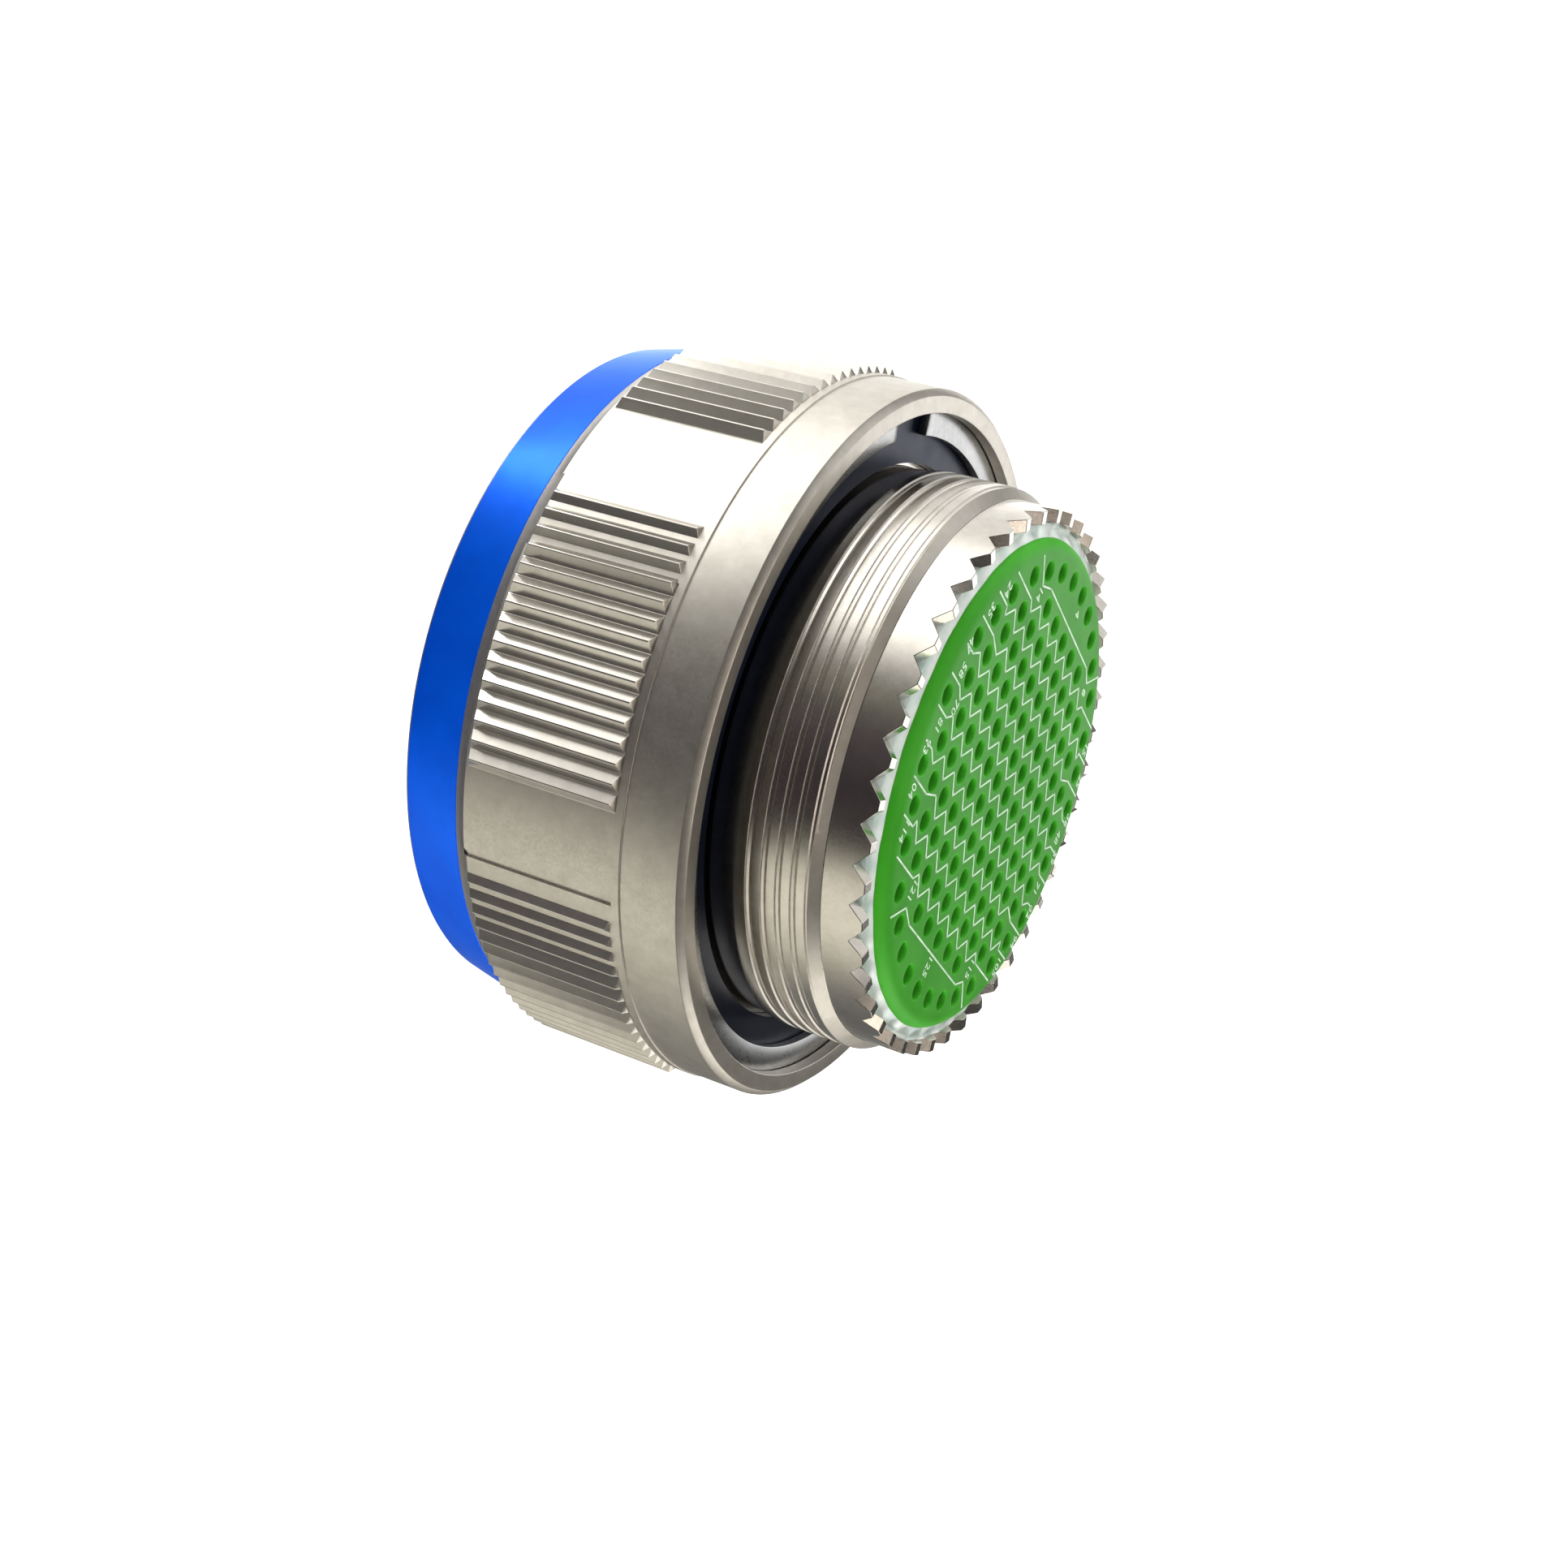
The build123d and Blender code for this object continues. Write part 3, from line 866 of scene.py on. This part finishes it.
# Rear grommet: moulded green silicone with a rounded edge, bonded to the insert. Its soft
# cavities seal on the wires.
grommet_radius = 16.1
grommet_front_z = 24.9
face_z = 29.885
rear_grommet = turned(
    "rear_grommet_body",
    [
        (0, grommet_front_z), (grommet_radius, grommet_front_z), (grommet_radius, 28.85),
        (grommet_radius - 0.06, 29.16), (grommet_radius - 0.2, 29.43), (grommet_radius - 0.42, 29.65),
        (grommet_radius - 0.68, 29.79), (grommet_radius - 1.0, 29.86), (grommet_radius - 1.3, face_z),
        (0, face_z),
    ],
    steps=180,
    closed=False,
)
wire_drill = turned(
    "wire_drill",
    [
        (0, 25.6), (0.3, 25.6), (0.3, 28.1), (0.45, 28.3), (0.62, 28.5), (0.65, 29.3),
        (0.66, 29.76), (0.70, 29.87), (0.74, 29.90), (0.74, 30.4), (0, 30.4),
    ],
    steps=20,
    closed=False,
)
drilled(rear_grommet, wire_drill, cavities)
smooth_by_angle(rear_grommet, 32)
green_silicone = new_material("green_silicone", {
    "Roughness": 0.5, "Specular IOR Level": 0.3, "Subsurface Weight": 0.6,
    "Subsurface Radius": (0.2, 1.0, 0.15), "Subsurface Scale": 1.0 * mm,
})
green_clouds = noise(green_silicone, 220.0, 5.0)
tinted(green_silicone, green_clouds, (0.030, 0.255, 0.009), (0.048, 0.31, 0.019))
embossed(green_silicone, green_clouds, 0.03)
rear_grommet.data.materials.append(green_silicone)
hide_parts("rear_grommet")
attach(rear_grommet, "shell")

# Printing on the grommet: white ink lines that wind between the rows of cavities, and the
# numbers of the cavities at the rows' ends. A line is looked up by its distance from the middle,
# in rows: how far it winds to each side, and from where to where its end strokes run.
ink_thickness = 0.012
ink_width = 0.12
ink_overlap = 0.8
zig = 0.54
line_shift = 0.1
line_reaches = {4.5: 7.4, 3.5: 11.1, 2.5: 10.5, 1.5: 12.6, 0.5: 12.6}
line_ends = {4.5: (8.0, 11.6), 3.5: (11.2, 13.1), 2.5: (11.3, 14.0), 1.5: (13.2, 14.5), 0.5: (13.1, 14.9)}


def stroke(start, end):
    """One straight stroke of ink on the grommet's face."""
    run = Vector((end[0] - start[0], end[1] - start[1]))
    bpy.ops.object.select_all(action="DESELECT")
    bpy.ops.mesh.primitive_cube_add(
        size=1,
        location=((start[0] + end[0]) / 2 * mm, (start[1] + end[1]) / 2 * mm, face_z * mm),
        rotation=(0, 0, atan2(run.y, run.x)),
        scale=((run.length + ink_width * ink_overlap) * mm, ink_width * mm, 2 * ink_thickness * mm),
    )
    bpy.ops.object.transform_apply(location=True, rotation=True, scale=True)
    return bpy.context.object


print_lines = []
for upper in range(5, -5, -1):
    rows_out = abs(upper - 0.5)
    middle = (upper - 0.5) * row_rise + line_shift
    lower_is_wide = half_rows[abs(upper - 1)] % 2 == 0
    line = []
    for half_step in range(-20, 21):
        x = half_step * cavity_pitch / 2
        over_lower = (half_step % 2 == 1) == lower_is_wide
        if abs(x) <= line_reaches[rows_out]:
            line.append((x, middle + (zig if over_lower else -zig)))
    near_end, far_end = line_ends[rows_out]
    line = [(-far_end, middle), (-near_end, middle)] + line + [(near_end, middle), (far_end, middle)]
    print_lines.append(line)
for side in (1, -1):
    print_lines.append([
        (-8.8, side * 12.3), (-7.15, side * 11.05), (-5.6, side * 11.63), (6.0, side * 11.63),
        (7.15, side * 11.02), (8.8, side * 12.3),
    ])
strokes = []
for line in print_lines:
    for start, end in zip(line, line[1:]):
        strokes.append(stroke(start, end))
printed_lines = joined(strokes, "printed_lines")
white_ink = new_material("white_ink", {"Roughness": 0.55})
tinted(
    white_ink, noise(white_ink, 1500.0, 3.0), (0.42, 0.70, 0.42), (0.72, 0.90, 0.72), ends=(0.3, 0.62),
)
printed_lines.data.materials.append(white_ink)
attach(printed_lines, "shell")
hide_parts("rear_grommet")

number_size = 1.0
number_places = {
    "14": (-7.1, 10.5), "24": (-12.05, 8.2), "35": (-13.2, 6.2), "47": (-14.15, 3.4),
    "58": (-13.65, 1.95), "70": (-12.5, 0.0), "81": (-13.7, -1.75), "93": (-14.1, -3.3),
    "104": (-13.45, -5.65), "114": (-12.15, -7.95), "121": (-7.3, -9.95), "4": (0.4, 12.9),
    "125": (0.0, -12.4), "115": (7.4, -10.0), "105": (12.2, -8.2), "94": (13.5, -5.9),
    "82": (14.2, -3.4), "71": (13.7, -1.8), "59": (14.6, 0.9), "48": (13.7, 2.1),
    "36": (14.2, 3.6), "25": (13.4, 6.3), "15": (12.1, 8.2), "8": (7.3, 10.4),
}
numbers = []
for text, (x, y) in number_places.items():
    bpy.ops.object.select_all(action="DESELECT")
    bpy.ops.object.text_add(location=(x * mm, y * mm, face_z * mm), rotation=(0, 0, radians(-90)))
    number = bpy.context.object
    number.data.body = text
    number.data.size = number_size * mm
    number.data.align_x = "CENTER"
    number.data.align_y = "CENTER"
    number.data.extrude = ink_thickness * mm
    number.data.resolution_u = 2
    bpy.ops.object.convert(target="MESH")
    bpy.ops.object.transform_apply(location=True, rotation=True, scale=True)
    edit(bpy.context.object)
    bpy.ops.mesh.select_all(action="SELECT")
    bpy.ops.mesh.remove_doubles(threshold=weld_distance * mm)
    bpy.ops.mesh.normals_make_consistent(inside=False)
    bpy.ops.object.mode_set(mode="OBJECT")
    numbers.append(bpy.context.object)
printed_numbers = joined(numbers, "printed_numbers")
printed_numbers.data.materials.append(white_ink)
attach(printed_numbers, "shell")
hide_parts("rear_grommet")

# Sealant: pale translucent resin run in round the grommet by hand, so its surface is uneven.
# It touches the wall of the shell's bore and the side of the grommet.
sealant_inner = grommet_radius - 0.1
sealant_outer = bore_radius - 0.02
sealant_front_z = 25.2
sealant = turned(
    "grommet_sealant_body",
    [
        (sealant_outer, sealant_front_z), (sealant_outer, 28.95), (16.85, 28.9), (16.6, 28.87),
        (16.4, 28.93), (16.2, 29.05), (sealant_inner, 29.2), (sealant_inner, sealant_front_z),
    ],
    steps=180,
)
shape = edit(sealant)
for vert in shape.verts:
    if vert.co.z > 28 * mm:
        turn = atan2(vert.co.y, vert.co.x)
        reach = hypot(vert.co.x, vert.co.y) / mm
        lumps = 0.05 * sin(13 * turn + 3 * reach) + 0.04 * sin(31 * turn) + 0.03 * sin(53 * turn + 7 * reach)
        vert.co.z += lumps * min(1.0, max(0.15, (reach - grommet_radius) / 0.4)) * mm
close_edit(sealant)
smooth_by_angle(sealant, 40)
pale_resin = new_material("pale_resin", {
    "Roughness": 0.28, "Subsurface Weight": 0.5, "Subsurface Radius": (0.8, 1.0, 1.0),
    "Subsurface Scale": 0.6 * mm,
})
resin_clouds = noise(pale_resin, 700.0, 4.0)
tinted(pale_resin, resin_clouds, (0.52, 0.64, 0.60), (0.80, 0.86, 0.82))
embossed(pale_resin, resin_clouds, 0.12)
sealant.data.materials.append(pale_resin)
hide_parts("grommet_sealant")
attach(sealant, "shell")
